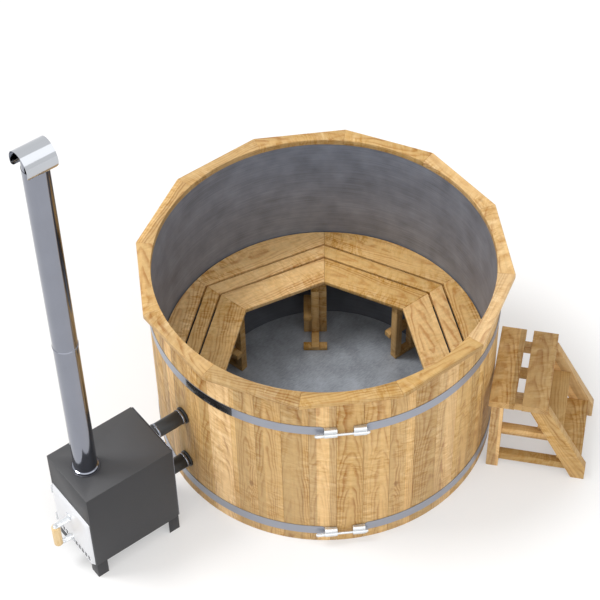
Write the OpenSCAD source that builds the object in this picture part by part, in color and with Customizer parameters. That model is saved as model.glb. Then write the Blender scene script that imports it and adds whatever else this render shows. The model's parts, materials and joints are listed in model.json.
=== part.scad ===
// Round wooden hot tub with a bench, an outside wood stove with chimney, and separate steps.
// The origin is the centre of the tub's floor boards, on the ground. +Z is up.
// The stove stands on the -X side of the tub.

/* [Tub wall and floor] */
// Outer radius of the stave wall
tub_r = 800; // [600:10:1000]
// Height of the staves
stave_h = 1000; // [850:5:1100]
// Thickness of a stave
stave_t = 26; // [20:1:34]
// Number of staves round the wall
stave_count = 42; // [32:2:52]
// Gap left in the seam between two staves
stave_gap = 0.4; // [0.2:0.1:1]
// Bevel on the outer corners of a stave
stave_bevel = 1.5; // [0.5:0.5:3]
// Thickness of the floor boards
floor_t = 22; // [16:1:30]
// Width of a floor board
floor_board_w = 121; // [90:1:160]
// Depth of the rebate in the staves that takes the floor boards
rebate_d = 8; // [5:1:11]

/* [Liner] */
// Thickness of the steel liner
liner_t = 1.5; // [1:0.1:2]
// Width of the liner's flange on the stave tops
flange_w = 20; // [12:1:24]
// Width of the sloped foot ring between floor and wall
foot_ring_w = 172; // [130:2:210]
// Height of the sloped foot ring between floor and wall
foot_ring_h = 120; // [80:5:140]
// Overlap of the liner's sheets where they are welded
weld_lap = 12; // [8:1:20]

/* [Rim] */
// Overhang of the rim's corners outside the staves
rim_out = 52; // [45:1:70]
// Overhang of the rim inside the liner
rim_in = 1.2; // [0.2:0.2:6]
// Thickness of the rim boards
rim_t = 30; // [22:1:40]
// Number of rim boards
rim_count = 12; // [12:1:16]
// Bevel on the outer edges of the rim boards
rim_bevel = 4; // [1:0.5:8]

/* [Hoops] */
// Height of a hoop
hoop_h = 52; // [40:1:60]
// Thickness of a hoop
hoop_t = 2.5; // [1.5:0.5:4]
// Height of the upper hoop's middle above the ground
upper_hoop_z = 809; // [700:1:850]
// Height of the lower hoop's middle above the ground
lower_hoop_z = 85; // [60:1:150]
// Direction of the hoops' tension rods, seen from above
lug_az = -121.6; // [-140:0.2:-100]
// Distance between the middles of a hoop's two lugs
lug_pitch = 127; // [110:1:150]
// Length of a lug along the hoop
lug_l = 56; // [40:1:70]
// Diameter of a tension rod
rod_d = 12; // [8:1:14]
// Radius of the rolled ribs on a lug
rib_r = 12; // [9:0.5:12]

/* [Bench] */
// Height of the seat above the ground
seat_z = 413; // [380:1:450]
// Thickness of the seat boards
seat_t = 21; // [18:1:28]
// Number of sides of the full polygon that the bench follows
bench_sides = 7; // [7:1:8]
// Number of sides that carry a bench
bench_used = 4; // [2:1:4]
// Direction of the bench's middle corner, seen from above
bench_az = 52.2; // [0:0.1:90]
// Distance of the bench polygon's centre behind the tub's centre
bench_back = 50; // [30:1:60]
// Depth of the seat at the bench's middle corner
seat_d = 384; // [370:2:410]
// Width of the inner seat board
inner_board_w = 141; // [120:1:150]
// Width of the middle slat
slat_w = 69; // [60:1:80]
// Gap between two seat boards
seat_gap = 11; // [5:1:14]
// Gap between the bench and the liner
bench_wall_gap = 5; // [3:1:10]
// Width and depth of the bench posts
post_w = 38; // [32:1:44]
// Height of the bearers under the seat
bearer_h = 40; // [30:1:50]
// Height of the bench frames' cross rails above the ground
cross_rail_z = 147; // [100:1:200]
// Height of the cross rails
cross_rail_h = 30; // [22:1:40]
// Height of the runners on the floor
runner_h = 28; // [22:1:34]
// Length of the middle runner in front of its post
runner_toe = 94; // [60:1:110]

/* [Stove] */
// Length of the stove casing
stove_l = 444; // [400:1:500]
// Width of the stove casing
stove_w = 318; // [290:1:380]
// Height of the stove above the ground
stove_h = 571; // [520:1:650]
// Height of the stove feet
foot_h = 88; // [60:1:110]
// Width of the stove feet
foot_w = 55; // [40:1:70]
// Gap between the tub wall and the stove casing
stove_gap = 174; // [140:2:300]
// Thickness of the casing's sheet
casing_t = 3; // [2:0.5:4]
// Length of the water tank that stands out at the back of the casing
tank_out = 8; // [4:1:12]
// Width of the water space between tank and firebox
water_gap = 36; // [25:1:42]

/* [Stove door] */
// Width of the door
door_w = 298; // [270:1:300]
// Height of the door
door_h = 296; // [240:1:300]
// Height of the door's lower edge above the ground
door_z = 89; // [85:1:110]
// Depth of the door pan
door_d = 12; // [8:1:16]
// Width of the bevel at the sides and the top of the door's face
door_bevel = 14; // [6:1:20]
// Thickness of the door's sheet
door_t = 2; // [1.5:0.5:3]
// Diameter of a hinge knuckle
knuckle_d = 9; // [7:0.5:9]
// Diameter of a hinge pin
hinge_pin_d = 5; // [4:0.5:5.5]
// Length of one hinge knuckle
knuckle_l = 16; // [10:1:24]
// Reach of the handle's arms in front of the door
handle_reach = 86; // [60:1:100]
// Distance between the middles of the handle's arms
handle_pitch = 130; // [110:1:150]
// Height of the handle's middle above the ground
handle_z = 206; // [190:1:230]
// Distance of the handle from the middle of the door, to the far side
handle_y = 17; // [-40:1:40]
// Diameter of the wooden grip
grip_d = 40; // [30:1:44]

/* [Chimney] */
// Outer diameter of the chimney pipe
pipe_d = 106; // [100:1:118]
// Wall of the chimney pipe
pipe_t = 1.2; // [0.8:0.2:2]
// Distance from the back of the stove casing to the chimney's axis
chimney_back = 338; // [330:1:366]
// Distance of the chimney's axis from the stove's middle, to the far side
chimney_y = 8; // [-40:1:40]
// Height of the joint between the two pipes above the ground
joint_z = 1370; // [1200:5:1600]
// Height of the chimney's mouth above the ground
mouth_z = 2365; // [2000:5:2500]
// Length of the pipe that slides into the next one
spigot_l = 50; // [30:1:70]
// Outer radius of the arched rain cap
cap_r = 63; // [62:1:70]
// Length of the rain cap
cap_l = 132; // [124:2:160]
// Height of the rain cap's axis above the chimney's mouth
cap_lift = 34; // [28:1:40]
// Radius of the corners of the rain cap's sheet
cap_corner_r = 14; // [4:1:18]

/* [Water hoses] */
// Outer diameter of a hose
hose_d = 70; // [60:1:74]
// Inner diameter of a hose
hose_bore = 60; // [50:1:62]
// Height of the upper hose above the ground
upper_hose_z = 536; // [480:1:536]
// Height of the lower hose above the ground
lower_hose_z = 220; // [200:1:260]
// Outer diameter of the ring on the tub wall
port_ring_d = 82; // [76:1:90]
// Thickness of the ring on the tub wall
port_ring_t = 10; // [6:1:14]

/* [Steps] */
// Direction of the steps, seen from above
steps_az = -49.3; // [-70:0.1:-30]
// Gap between the tub wall and the steps
steps_gap = 4; // [3:1:20]
// Height of the steps' platform
platform_z = 492; // [440:1:520]
// Height of one rise below the platform
rise = 188.5; // [170:0.5:190]
// Thickness of the treads
tread_t = 38; // [28:1:44]
// Width of a tread board
tread_w = 116; // [100:1:130]
// Gap between the platform's boards
platform_gap = 33; // [10:1:40]
// Length of the platform's boards
platform_l = 462; // [440:2:600]
// Width of the steps over their side frames
frame_w = 424; // [400:2:560]
// Thickness of the side frames' boards
frame_t = 40; // [30:1:46]
// Width of a back leg
leg_w = 56; // [40:1:70]
// Width of a sloping string, measured level
string_w = 93; // [70:1:110]
// Depth of the steps at the ground, from the back legs to the strings' toes
steps_d = 461; // [440:1:520]
// Height of the upright end at the toe of a string
toe_h = 80; // [40:1:110]
// Height of a frame rail
rail_h = 44; // [34:1:50]

/* [Hidden] */
// Clearance of pieces that fit one in another
fit = 0.3;
// Clearance of round pieces that slide one in another
slip = 0.1;
// Overrun of every cut
over = 2;
$fn = 96;
// Number of facets of a large cylinder that trims small pieces
large_fn = 720;
// Clearance of a hoop round the staves
hoop_clear = 0.6;
// Turn between two points of a corner that is cut round in short steps
corner_step = 15;

// Tub wall
stave_in_r = tub_r - stave_t;
stave_angle = 360 / stave_count;
rim_z = stave_h + liner_t;
rim_top_z = rim_z + rim_t;
rim_angle = 360 / rim_count;
rim_corner_r = tub_r + rim_out;
rim_flat_r = rim_corner_r * cos(rim_angle / 2);
floor_edge_r = stave_in_r + rebate_d - fit;
liner_out_r = stave_in_r - fit;
liner_in_r = liner_out_r - liner_t;
liner_floor_z = floor_t + liner_t;
rim_inner_r = liner_in_r - rim_in;
foot_ring_r = liner_in_r - slip;
floor_r = liner_in_r - foot_ring_w;

// Hoops and lugs
hoop_in_r = tub_r + hoop_clear;
hoop_out_r = hoop_in_r + hoop_t;
rib_z = hoop_h / 2 - rib_r - slip;
rod_r = hoop_out_r + rib_r - hoop_t;
tongue_h = hoop_h / 2;
shoulder_step = 1;
shoulder_r = (hoop_h - tongue_h) / 2 - shoulder_step;
lug_end = lug_pitch / 2 + lug_l / 2;
lug_seat = rib_r + 2 * hoop_t;
long_nut_l = 3 * rod_d;
nut_l = 0.8 * rod_d;
nut_r = 0.85 * rod_d;
rod_tail = 0.4 * rod_d;
plate_az = -167;
plate_angle = 18.7;
plate_t = 0.5 * hoop_t;
plate_in_r = hoop_out_r + slip + fit;

// Bench
side_angle = 360 / bench_sides;
bench_out_r = liner_in_r - bench_wall_gap;
seat_in = bench_out_r + bench_back - seat_d;
slat_in = seat_in + inner_board_w + seat_gap;
outer_in = slat_in + slat_w + seat_gap;
seat_low_z = seat_z - seat_t;
bearer_z = seat_low_z - bearer_h;
post_y = 28;
post_x = (seat_in - (post_y + post_w) * sin(side_angle / 2)) / cos(side_angle / 2) + post_w / 2;
post_low_z = liner_floor_z + runner_h;
floor_margin = 14;
batten_w = 60;
batten_t = 20;
batten_back = post_w + floor_margin;
foot_block_w = 40;
side_post_set = 30;
foot_block_l = 40;
foot_block_h = 20;
rail_lip = 8;
frame_angles = [for (i = [0 : bench_used]) (i - bench_used / 2) * side_angle];

// Stove
stove_back = -(tub_r + stove_gap);
stove_front = stove_back - stove_l;
casing_in_w = stove_w - 2 * casing_t;
tank_t = 2;
tank_w = casing_in_w - 2 * fit;
tank_front = stove_front + casing_t + fit;
tank_back = stove_back + tank_out;
tank_low_z = foot_h + casing_t;
tank_top_z = stove_h - casing_t - fit;
box_t = 4;
box_w = tank_w - 2 * tank_t - 2 * water_gap;
box_low_z = tank_low_z + tank_t;
box_top_z = tank_top_z - tank_t - water_gap;
box_back = tank_back - tank_t - water_gap;
mouth_w = box_w - 2 * box_t;
mouth_low_z = box_low_z + box_t;
mouth_top_z = door_z + door_h - 2 * door_bevel;
grate_rest_h = 60;
grate_z = mouth_low_z + grate_rest_h;
grate_t = 12;
grate_bar_w = 9;
grate_pitch = 20;
grate_rest_w = 10;

// Chimney
chimney_axis_x = stove_back - chimney_back;
spigot_d = pipe_d - 2 * pipe_t - 2 * slip;
collar_t = 3;
flue_low_z = stove_h + collar_t;
collar_lip = 11;
collar_d = pipe_d + 2 * collar_lip;
foot_bead_lip = 5;
joint_bead_lip = 2;
foot_bead_d = pipe_d + 2 * foot_bead_lip;
joint_bead_d = pipe_d + 2 * joint_bead_lip;
bead_h = 10;
strap_w = 24;
strap_t = 2;
cap_t = 1.5;
cap_z = mouth_z + cap_lift;
cap_edge = cap_lift - fit;
cap_low = asin(cap_edge / cap_r);
strap_r = pipe_d / 2 - pipe_t - slip;
strap_top_z = cap_z + sqrt(pow(cap_r - cap_t - slip, 2) - pow(strap_w / 2, 2));

// Door
door_gap = fit;
door_back_x = stove_front - door_gap;
door_face_x = door_back_x - door_d;
door_mid_z = door_z + door_h / 2;
hinge_x = stove_front - casing_t - knuckle_d / 2 + slip;
hinge_y = door_w / 2 + fit + knuckle_d / 2;
hinge_offset_z = door_h / 2 - 2 * knuckle_l - door_bevel;
hinge_zs = [door_mid_z - hinge_offset_z, door_mid_z + hinge_offset_z];
pin_head_d = knuckle_d - 2 * fit;
pin_head_h = 2;
slot_w = 16;
slot_h = 11;
slot_pitch = 26;
slot_count = 10;
slot_row_pitch = 16;
slot_low = 12;
slot_z = door_z + slot_low;
arm_w = 28;
arm_t = 4;
arm_foot_h = 30;
spindle_d = 8;
spindle_head_d = 16;
spindle_head_h = 5;
grip_x = door_face_x - handle_reach + arm_w / 2;

// Hoses
hose_zs = [lower_hose_z, upper_hose_z];
stub_d = hose_bore - 2 * slip;
stub_t = 3;
stub_l = 48;
port_flange_d = 92;
port_flange_t = 3;
clamp_w = 9;
clamp_t = 1.5;
clamp_inset = 6;
stove_clamp_inset = 20;
clamp_box = 12;
hose_tub_x = -(tub_r + port_ring_t + slip);
hose_stove_x = tank_back + slip;

// Steps
steps_in_u = tub_r + steps_gap;
leg_back = 11;
leg_u = steps_in_u + leg_back;
toe_u = leg_u + steps_d;
frame_out = frame_w / 2;
frame_in = frame_out - frame_t;
frame_top_z = platform_z - tread_t;
string_lead = 5;
string_top_u = steps_in_u + 2 * tread_w + platform_gap + string_lead;
string_slope = (toe_u - string_top_u) / (frame_top_z - toe_h);
rail_housing = frame_t / 2;
rail_inset = 3;
rail_t = frame_t - rail_inset;
rail_out = frame_out - rail_housing;
rail_in = rail_out - rail_t;
rail_end_margin = 36;
tread_back = 6;
rail_count = 3;
tread_zs = [platform_z - 2 * rise, platform_z - rise];

// A tube standing on z = 0
module tube(outer_r, inner_r, h) {
    difference() {
        cylinder(h = h, r = outer_r);
        translate([0, 0, -over]) cylinder(h = h + 2 * over, r = inner_r);
    }
}

// A ring with the section outer_r, inner_r and h, turned through an angle about +Z
module arc_band(outer_r, inner_r, h, from, turn) {
    rotate([0, 0, from]) rotate_extrude(angle = turn)
        translate([inner_r, 0]) square([outer_r - inner_r, h]);
}

// Places children on the water ports, with local +Z pointing from the tub to the stove
module at_ports(x) {
    for (z = hose_zs) translate([x, 0, z]) rotate([0, -90, 0]) children();
}

// Places children in the bench polygon's frame, with +X towards its middle corner
module at_bench() {
    rotate([0, 0, bench_az]) translate([-bench_back, 0, 0]) children();
}

// Places children in the frame of the tension rods, with +X outwards and +Z up
module at_lugs(z) {
    rotate([0, 0, lug_az]) translate([0, 0, z]) children();
}

// Places children in the frame of the steps, with +X away from the tub
module at_steps() {
    rotate([0, 0, steps_az]) children();
}

// One stave in the direction +X, without its rebate
module stave() {
    half = stave_angle / 2;
    corner_y = tub_r * tan(half) - stave_gap / 2;
    intersection() {
        tube(tub_r, stave_in_r, stave_h);
        linear_extrude(height = stave_h) polygon([
            [stave_in_r - stave_t, -(stave_in_r - stave_t) * tan(half) + stave_gap / 2],
            [tub_r - stave_bevel, -corner_y + stave_bevel * tan(half)],
            [tub_r, -corner_y + stave_bevel],
            [tub_r + stave_t, -corner_y + stave_bevel],
            [tub_r + stave_t, corner_y - stave_bevel],
            [tub_r, corner_y - stave_bevel],
            [tub_r - stave_bevel, corner_y - stave_bevel * tan(half)],
            [stave_in_r - stave_t, (stave_in_r - stave_t) * tan(half) - stave_gap / 2]]);
    }
}

// The space that the rebate in the staves and the floor boards share
module floor_rebate() {
    translate([0, 0, -over]) cylinder(h = floor_t + over, r = stave_in_r + rebate_d);
}

module staves() color("burlywood") difference() {
    for (i = [0 : stave_count - 1]) if (i != stave_count / 2)
        rotate([0, 0, i * stave_angle]) stave();
    floor_rebate();
}

module port_stave() color("burlywood") difference() {
    rotate([0, 0, 180]) stave();
    floor_rebate();
    at_ports(-(tub_r - 2 * stave_t)) cylinder(h = 4 * stave_t, r = stub_d / 2 + fit);
}

module floor_boards() color("tan") {
    rows = ceil(floor_edge_r / floor_board_w - 0.5);
    for (i = [-rows : rows]) intersection() {
        cylinder(h = floor_t, r = floor_edge_r);
        translate([-floor_edge_r, (i - 0.5) * floor_board_w + stave_gap / 2, 0])
            cube([2 * floor_edge_r, floor_board_w - stave_gap, floor_t]);
    }
}

module rim_boards() color("burlywood") {
    half_l = rim_corner_r * sin(rim_angle / 2);
    for (i = [0 : rim_count - 1]) rotate([0, 0, i * rim_angle]) difference() {
        intersection() {
            translate([0, half_l + over, rim_z]) rotate([90, 0, 0])
                linear_extrude(height = 2 * (half_l + over)) polygon([
                    [rim_inner_r - stave_t - rim_t, 0],
                    [rim_flat_r - rim_bevel, 0],
                    [rim_flat_r, rim_bevel],
                    [rim_flat_r, rim_t - rim_bevel],
                    [rim_flat_r - rim_bevel, rim_t],
                    [rim_inner_r - stave_t - rim_t, rim_t]]);
            translate([0, 0, rim_z]) linear_extrude(height = rim_t) polygon([
                [stave_gap, 0],
                [rim_flat_r + over, -(rim_flat_r + over) * tan(rim_angle / 2) + stave_gap / 2],
                [rim_flat_r + over, (rim_flat_r + over) * tan(rim_angle / 2) - stave_gap / 2]]);
        }
        translate([0, 0, rim_z - over]) cylinder(h = rim_t + 2 * over, r = rim_inner_r);
        translate([0, 0, rim_top_z - rim_bevel / 2])
            cylinder(h = rim_bevel, r1 = rim_inner_r, r2 = rim_inner_r + rim_bevel);
    }
}

module liner_wall() color("lightslategray") difference() {
    rotate_extrude() polygon([
        [liner_in_r, floor_t],
        [liner_out_r, floor_t],
        [liner_out_r, stave_h],
        [liner_out_r + flange_w, stave_h],
        [liner_out_r + flange_w, stave_h + liner_t],
        [liner_in_r, stave_h + liner_t]]);
    at_ports(-(liner_in_r - 2 * stave_t)) cylinder(h = 4 * stave_t, r = stub_d / 2 + slip);
}

module liner_foot_ring() color("lightslategray") {
    low = liner_floor_z;
    high = liner_floor_z + foot_ring_h;
    rotate_extrude() polygon([
        [floor_r - weld_lap, low],
        [floor_r, low],
        [foot_ring_r, high],
        [foot_ring_r, high + weld_lap],
        [foot_ring_r - liner_t, high + weld_lap],
        [foot_ring_r - liner_t, high + liner_t],
        [floor_r - liner_t, low + liner_t],
        [floor_r - weld_lap, low + liner_t]]);
}

module liner_floor() color("lightslategray")
    translate([0, 0, floor_t]) cylinder(h = liner_t, r = liner_in_r - slip);

// Half the opening in a hoop at its tension rod, which leaves a tongue with round shoulders
module hoop_window() {
    tongue_end = lug_pitch / 2 - lug_l / 2;
    reach = lug_end + shoulder_r;
    low = tongue_h / 2;
    polygon(concat(
        [[-over, -hoop_h], [reach, -hoop_h]],
        [for (a = [270 : -corner_step : 180])
            [reach + shoulder_r * cos(a), shoulder_r * sin(a) - low]],
        [[tongue_end, -low], [tongue_end, low]],
        [for (a = [180 : -corner_step : 90])
            [reach + shoulder_r * cos(a), shoulder_r * sin(a) + low]],
        [[reach, hoop_h], [-over, hoop_h]]));
}

module hoop(z) difference() {
    translate([0, 0, z - hoop_h / 2]) tube(hoop_out_r, hoop_in_r, hoop_h);
    at_lugs(z) for (side = [0, 1]) mirror([0, side, 0]) translate([tub_r - 2 * stave_t, 0, 0])
        rotate([90, 0, 90]) linear_extrude(height = 4 * stave_t) hoop_window();
}

module upper_hoop() color("slategray") hoop(upper_hoop_z);

module lower_hoop() color("slategray") hoop(lower_hoop_z);

module hoop_lugs() color("silver") for (z = [lower_hoop_z, upper_hoop_z]) at_lugs(z)
    for (side = [-1, 1]) difference() {
        translate([0, side * lug_pitch / 2, 0]) union() {
            for (up = [-1, 1]) translate([rod_r, lug_l / 2, up * rib_z]) rotate([90, 0, 0])
                cylinder(h = lug_l, r = rib_r);
            translate([rod_r - lug_seat, -lug_l / 2, -rib_z - rib_r + hoop_t])
                cube([lug_seat, lug_l, 2 * (rib_z + rib_r - hoop_t)]);
        }
        translate([0, 0, -hoop_h])
            cylinder(h = 2 * hoop_h, r = hoop_out_r + slip, $fn = large_fn);
        translate([rod_r, side * lug_pitch / 2 + lug_l, -rib_z]) rotate([90, 0, 0])
            cylinder(h = 2 * lug_l, r = rod_d / 2 + slip);
    }

module tension_rods() color("silver") for (z = [lower_hoop_z, upper_hoop_z]) at_lugs(z)
    translate([rod_r, lug_end + nut_l + rod_tail, -rib_z]) rotate([90, 0, 0])
        cylinder(h = 2 * lug_end + nut_l + 2 * rod_tail + long_nut_l, r = rod_d / 2);

// A hexagonal nut on a tension rod
module nut(l) {
    difference() {
        cylinder(h = l, r = nut_r, $fn = 6);
        translate([0, 0, -over]) cylinder(h = l + 2 * over, r = rod_d / 2 + slip);
    }
}

module rod_nuts() color("gainsboro") for (z = [lower_hoop_z, upper_hoop_z]) at_lugs(z) {
    translate([rod_r, lug_end + nut_l, -rib_z]) rotate([90, 0, 0]) nut(nut_l);
    translate([rod_r, -lug_end, -rib_z]) rotate([90, 0, 0]) nut(long_nut_l);
}

module name_plate() color("dimgray") translate([0, 0, upper_hoop_z - hoop_h / 2])
    arc_band(plate_in_r + plate_t, plate_in_r, hoop_h, plate_az - plate_angle / 2, plate_angle);

// One seat board between two distances from the polygon's centre, mitred at both ends
module seat_board(low, high) {
    t = tan(side_angle / 2);
    linear_extrude(height = seat_t) polygon([
        [low, -low * t + stave_gap], [high, -high * t + stave_gap],
        [high, high * t - stave_gap], [low, low * t - stave_gap]]);
}

module bench_row(low, high) {
    at_bench() for (i = [0 : bench_used - 1])
        rotate([0, 0, (i + 0.5 - bench_used / 2) * side_angle])
            translate([0, 0, seat_low_z]) seat_board(low, high);
}

module bench_inner_boards() color("burlywood") bench_row(seat_in, seat_in + inner_board_w);

module bench_middle_slats() color("burlywood") bench_row(slat_in, slat_in + slat_w);

module bench_outer_boards() color("burlywood") intersection() {
    bench_row(outer_in, tub_r + bench_back);
    cylinder(h = seat_z, r = bench_out_r);
}

// Distance from the bench polygon's centre to a circle round the tub's axis, along an angle
function bench_reach(r, angle) =
    bench_back * cos(angle) + sqrt(r * r - pow(bench_back * sin(angle), 2));

// Back face of the outer post at a frame, clear of the foot ring's lap on the floor
function post_back(angle) = bench_reach(floor_r - weld_lap, angle) - floor_margin;

// The last frame is mirrored, so that all its pieces lie under the bench
module at_frames(angles = frame_angles) {
    at_bench() for (angle = angles) rotate([0, 0, angle])
        mirror([0, angle > (bench_used - 1) / 2 * side_angle ? 1 : 0, 0]) {
            $frame_angle = angle;
            children();
        }
}

module bench_battens() color("peru") {
    middle = [for (i = [1 : bench_used - 1]) frame_angles[i]];
    at_frames(middle) translate([post_x + batten_back, post_y - fit - batten_w - post_y, 0])
        translate([0, 0, seat_low_z - batten_t])
            cube([slat_in - seat_in + slat_w, batten_w + post_y, batten_t]);
}

module bench_bearers() color("peru") at_frames()
    translate([post_x, post_y, bearer_z])
        cube([bench_reach(bench_out_r, $frame_angle) - post_x - post_w, post_w, bearer_h]);

module bench_inner_posts() color("peru") at_frames()
    translate([post_x, post_y, post_low_z]) cube([post_w, post_w, bearer_z - post_low_z]);

module bench_outer_posts() color("peru") at_frames()
    translate([post_back($frame_angle) - post_w, post_y, post_low_z])
        cube([post_w, post_w, bearer_z - post_low_z]);

module bench_cross_rails() color("peru") at_frames()
    translate([post_x - rail_lip, post_y + post_w, cross_rail_z])
        cube([post_back($frame_angle) - post_x + rail_lip - floor_margin,
            post_w, cross_rail_h]);

// Toe of a runner: the middle one reaches out into the footwell
function frame_toe(angle) = angle == 0 ? runner_toe : 0;

module bench_runners() color("peru") at_frames()
    translate([post_x - frame_toe($frame_angle), post_y, liner_floor_z])
        cube([post_back($frame_angle) - post_x + frame_toe($frame_angle), post_w, runner_h]);

module bench_foot_blocks() color("peru") at_frames([0])
    for (y = [post_y - foot_block_w, post_y + post_w])
        translate([post_x - runner_toe, y, liner_floor_z])
            cube([foot_block_l, foot_block_w, foot_block_h]);

// Uprights at both sides of the middle post: one carries a batten, one carries the rail
module bench_side_posts() color("peru") at_frames([0]) {
    translate([post_x + side_post_set, post_y - post_w, liner_floor_z])
        cube([post_w, post_w, seat_low_z - batten_t - liner_floor_z]);
    translate([post_x + side_post_set, post_y + post_w, liner_floor_z])
        cube([post_w, post_w, cross_rail_z - liner_floor_z]);
}

module tub_port_pipes() color("silver")
    at_ports(-(liner_in_r - port_flange_t)) tube(stub_d / 2, stub_d / 2 - stub_t,
        tub_r - liner_in_r + port_flange_t + port_ring_t + stub_l);

module tub_port_rings() color("black") difference() {
    at_ports(-(tub_r - port_ring_t)) tube(port_ring_d / 2, stub_d / 2 + fit, 2 * port_ring_t);
    cylinder(h = stave_h, r = tub_r + slip, $fn = large_fn);
}

module tub_port_flanges() color("silver") intersection() {
    at_ports(-(liner_in_r - port_flange_t - stave_t))
        tube(port_flange_d / 2, stub_d / 2 + slip, 2 * stave_t);
    tube(liner_in_r - slip, liner_in_r - slip - port_flange_t, stave_h, $fn = large_fn);
}

module water_hoses() color("#1c1c1c") at_ports(hose_tub_x)
    tube(hose_d / 2, hose_bore / 2, hose_tub_x - hose_stove_x);

// A band clamp with its screw housing, lying on the hose
module clamp() {
    inner = hose_d / 2 + slip;
    tube(inner + clamp_t, inner, clamp_w);
    difference() {
        translate([inner - clamp_t, -clamp_box / 2, 0])
            cube([clamp_box / 2 + clamp_t, clamp_box, clamp_w]);
        translate([0, 0, -over]) cylinder(h = clamp_w + 2 * over, r = inner + clamp_t / 2);
    }
}

module hose_clamps() color("silver") {
    at_ports(hose_tub_x - clamp_inset) rotate([0, 0, 90]) clamp();
    at_ports(hose_stove_x + stove_clamp_inset) rotate([0, 0, 90]) clamp();
}

module stove_stubs() color("silver") at_ports(tank_back + stub_l)
    tube(stub_d / 2, stub_d / 2 - stub_t, stub_l);

// The opening of the firebox in the casing's front wall
module mouth(x, l) {
    translate([x, -mouth_w / 2, mouth_low_z]) cube([l, mouth_w, mouth_top_z - mouth_low_z]);
}

module stove_casing() color("#2f2f31") difference() {
    translate([stove_front, -stove_w / 2, foot_h])
        cube([stove_l, stove_w, stove_h - foot_h - casing_t]);
    translate([stove_front + casing_t, -casing_in_w / 2, foot_h + casing_t])
        cube([stove_l, casing_in_w, stove_h]);
    mouth(stove_front - over, casing_t + 2 * over);
}

module stove_top_plate() color("#3d3d3f") difference() {
    translate([stove_front, -stove_w / 2, stove_h - casing_t])
        cube([stove_l, stove_w, casing_t]);
    translate([chimney_axis_x, chimney_y, stove_h - casing_t - over])
        cylinder(h = casing_t + 2 * over, r = spigot_d / 2 + fit);
}

// An angle-section foot in the corner at the origin, pointing to +X and +Y
module foot() {
    cube([foot_w, casing_t, foot_h]);
    cube([casing_t, foot_w, foot_h]);
}

module stove_feet() color("#2f2f31")
    for (end = [0, 1]) for (side = [0, 1])
        translate([stove_front + end * stove_l, (side - 0.5) * stove_w, 0])
            mirror([end, 0, 0]) mirror([0, side, 0]) foot();

module water_tank() color("gainsboro") difference() {
    translate([tank_front, -tank_w / 2, tank_low_z])
        cube([tank_back - tank_t - tank_front, tank_w, tank_top_z - tank_low_z]);
    translate([tank_front - over, tank_t - tank_w / 2, tank_low_z + tank_t])
        cube([tank_back - tank_t - tank_front + 2 * over, tank_w - 2 * tank_t,
            tank_top_z - tank_low_z - 2 * tank_t]);
    translate([chimney_axis_x, chimney_y, tank_top_z - tank_t - over])
        cylinder(h = tank_t + 2 * over, r = spigot_d / 2 + slip);
}

module tank_back_plate() color("gainsboro") difference() {
    translate([tank_back - tank_t, -tank_w / 2, tank_low_z])
        cube([tank_t, tank_w, tank_top_z - tank_low_z]);
    at_ports(tank_back + over) cylinder(h = tank_t + 2 * over, r = stub_d / 2 - stub_t);
}

module tank_front_frame() color("gray") difference() {
    translate([tank_front, -tank_w / 2 + tank_t + slip, tank_low_z + tank_t + slip])
        cube([tank_t, tank_w - 2 * (tank_t + slip),
            tank_top_z - tank_low_z - 2 * (tank_t + slip)]);
    translate([tank_front - over, -box_w / 2 - slip, box_low_z - over])
        cube([tank_t + 2 * over, box_w + 2 * slip, box_top_z - box_low_z + over + slip]);
}

module firebox() color("dimgray") difference() {
    translate([tank_front, -box_w / 2, box_low_z])
        cube([box_back - tank_front, box_w, box_top_z - box_low_z]);
    translate([tank_front - over, -mouth_w / 2, mouth_low_z])
        cube([box_back - tank_front - box_t + over, mouth_w,
            box_top_z - box_low_z - 2 * box_t]);
    translate([chimney_axis_x, chimney_y, box_top_z - box_t - over])
        cylinder(h = box_t + 2 * over, r = spigot_d / 2 - box_t);
}

module firebox_grate() color("dimgray") {
    front = tank_front + 2 * box_t;
    l = box_back - front - 2 * box_t;
    w = mouth_w - 2 * fit;
    for (side = [0, 1]) mirror([0, side, 0])
        translate([front, w / 2 - grate_rest_w, mouth_low_z])
            cube([l, grate_rest_w, grate_z - mouth_low_z]);
    for (x = [0 : grate_pitch : l - grate_bar_w]) translate([front + x, -w / 2, grate_z])
        cube([grate_bar_w, w, grate_t]);
}

module flue_spigot() color("dimgray") translate([chimney_axis_x, chimney_y, box_top_z])
    tube(spigot_d / 2, spigot_d / 2 - box_t / 2, flue_low_z + spigot_l - box_top_z);

module flue_collar() color("#1c1c1c") translate([chimney_axis_x, chimney_y, stove_h])
    tube(collar_d / 2, spigot_d / 2 + fit, collar_t);

// A chimney pipe with its lower bead, and a spigot at its top where one is wanted
module chimney_pipe(low, high, bead_d, spigot) {
    r = pipe_d / 2;
    translate([chimney_axis_x, chimney_y, 0]) rotate_extrude() polygon(concat([
        [r - pipe_t, low],
        [bead_d / 2 - pipe_t, low],
        [bead_d / 2, low + pipe_t],
        [bead_d / 2, low + bead_h - pipe_t],
        [r, low + bead_h + pipe_t],
        [r, high]],
        spigot ? [
            [spigot_d / 2, high],
            [spigot_d / 2, high + spigot_l],
            [spigot_d / 2 - pipe_t, high + spigot_l],
            [spigot_d / 2 - pipe_t, high - pipe_t],
            [r - pipe_t, high - 2 * pipe_t]] : [[r - pipe_t, high]]));
}

module lower_pipe() color("silver") chimney_pipe(flue_low_z, joint_z, foot_bead_d, true);

module upper_pipe() color("silver") chimney_pipe(joint_z, mouth_z, joint_bead_d, false);

module cap_straps() color("silver") for (side = [-1, 1])
    translate([chimney_axis_x, chimney_y, mouth_z - spigot_l]) intersection() {
        tube(strap_r, strap_r - strap_t, strap_top_z - mouth_z + spigot_l);
        translate([side * strap_r, 0, 0]) cube([strap_r, strap_w, 4 * cap_r], center = true);
    }

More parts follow.
